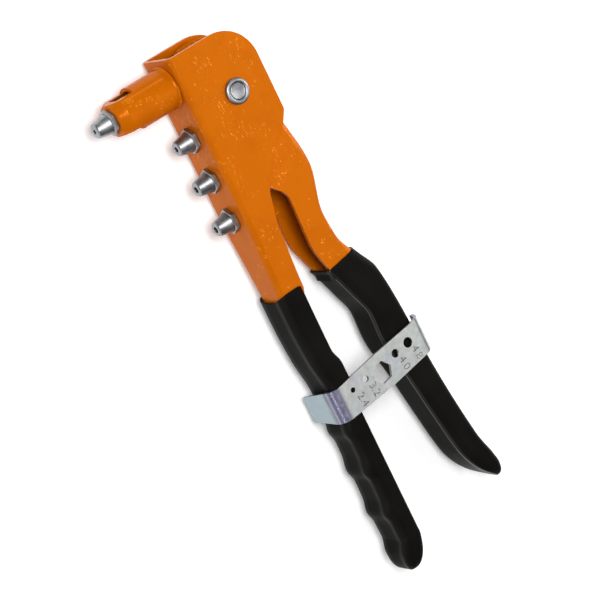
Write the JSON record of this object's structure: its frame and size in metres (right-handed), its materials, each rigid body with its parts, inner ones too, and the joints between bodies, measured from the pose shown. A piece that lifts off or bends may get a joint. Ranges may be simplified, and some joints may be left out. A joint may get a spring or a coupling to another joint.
{
  "type": "hand riveter",
  "caption": "Hand riveter with a side-pointing barrel, stowed spare nosepieces, sleeved handles and a lift-off keeper clip that holds them closed.",
  "frame": {"origin": "centre of the flat lower head of the pivot rivet, in the plane that the head rests on when the tool lies on its side", "axes": "+Z along the pivot axis, away from the surface the tool lies on; +Y along the fixed frame towards the head; -X the way the nose points"},
  "size_m": [0.113, 0.2735, 0.03],
  "materials": {
    "orange_paint": "glossy orange powder coat with slight orange peel on pressed sheet steel",
    "black_vinyl": "dipped soft vinyl, satin to glossy black",
    "zinc_plate": "bright zinc plate with a faint blue and violet passivation",
    "hardened_steel": "turned and hardened steel, lightly oiled",
    "spring_wire": "drawn spring wire"
  },
  "bodies": {
    "frame": {"frame_body": "orange_paint", "front_grip": "black_vinyl", "nose_barrel": "orange_paint", "nosepiece_fitted": "zinc_plate", "nosepiece_spare_1": "zinc_plate", "nosepiece_spare_2": "zinc_plate", "nosepiece_spare_3": "zinc_plate", "pivot_pin": "zinc_plate", "pivot_collar": "zinc_plate", "pivot_spacer": "hardened_steel", "spring_seat": "hardened_steel", "return_spring": "spring_wire"},
    "lever": {"lever_body": "orange_paint", "rear_grip": "black_vinyl", "pull_pin_near": "hardened_steel", "pull_pin_far": "hardened_steel"},
    "jaw_carriage": {"jaw_case": "hardened_steel", "jaw_plug": "hardened_steel", "jaw_spring": "spring_wire"},
    "jaw_a": {"jaw_1": "hardened_steel"},
    "jaw_b": {"jaw_2": "hardened_steel"},
    "jaw_c": {"jaw_3": "hardened_steel"},
    "pusher": {"jaw_pusher": "hardened_steel"},
    "clip": {"keeper_clip": "zinc_plate"}
  },
  "joints": [
    {"name": "lever_hinge", "type": "hinge", "parent": "frame", "child": "lever", "pos_m": [0, 0, 0.015], "axis": [0, 0, 1], "range_deg": [0, 35]},
    {"name": "carriage_slide", "type": "slide", "parent": "frame", "child": "jaw_carriage", "axis": [-1, 0, 0], "range_m": [0, 0.0096], "deforming": ["return_spring"]},
    {"name": "jaw_1_slide", "type": "slide", "parent": "jaw_carriage", "child": "jaw_a", "axis": [0.9806, 0, 0.1961], "range_m": [0, 0.0015]},
    {"name": "jaw_2_slide", "type": "slide", "parent": "jaw_carriage", "child": "jaw_b", "axis": [0.9806, -0.1698, -0.0981], "range_m": [0, 0.0015]},
    {"name": "jaw_3_slide", "type": "slide", "parent": "jaw_carriage", "child": "jaw_c", "axis": [0.9806, 0.1698, -0.0981], "range_m": [0, 0.0015]},
    {"name": "pusher_slide", "type": "slide", "parent": "jaw_carriage", "child": "pusher", "axis": [1, 0, 0], "range_m": [0, 0.0015], "deforming": ["jaw_spring"]},
    {"name": "clip_lift", "type": "slide", "parent": "frame", "child": "clip", "axis": [0, 0, 1], "range_m": [0, 0.141]}
  ],
  "couplings": [
    {"joint": "carriage_slide", "follows": "lever_hinge", "m_per_rad": 0.015457},
    {"joint": "jaw_1_slide", "follows": "lever_hinge", "m_per_rad": 0.00245},
    {"joint": "jaw_2_slide", "follows": "lever_hinge", "m_per_rad": 0.00245},
    {"joint": "jaw_3_slide", "follows": "lever_hinge", "m_per_rad": 0.00245},
    {"joint": "pusher_slide", "follows": "lever_hinge", "m_per_rad": 0.00245},
    {"joint": "clip_lift", "follows": "lever_hinge", "m_per_rad": 0.23}
  ]
}
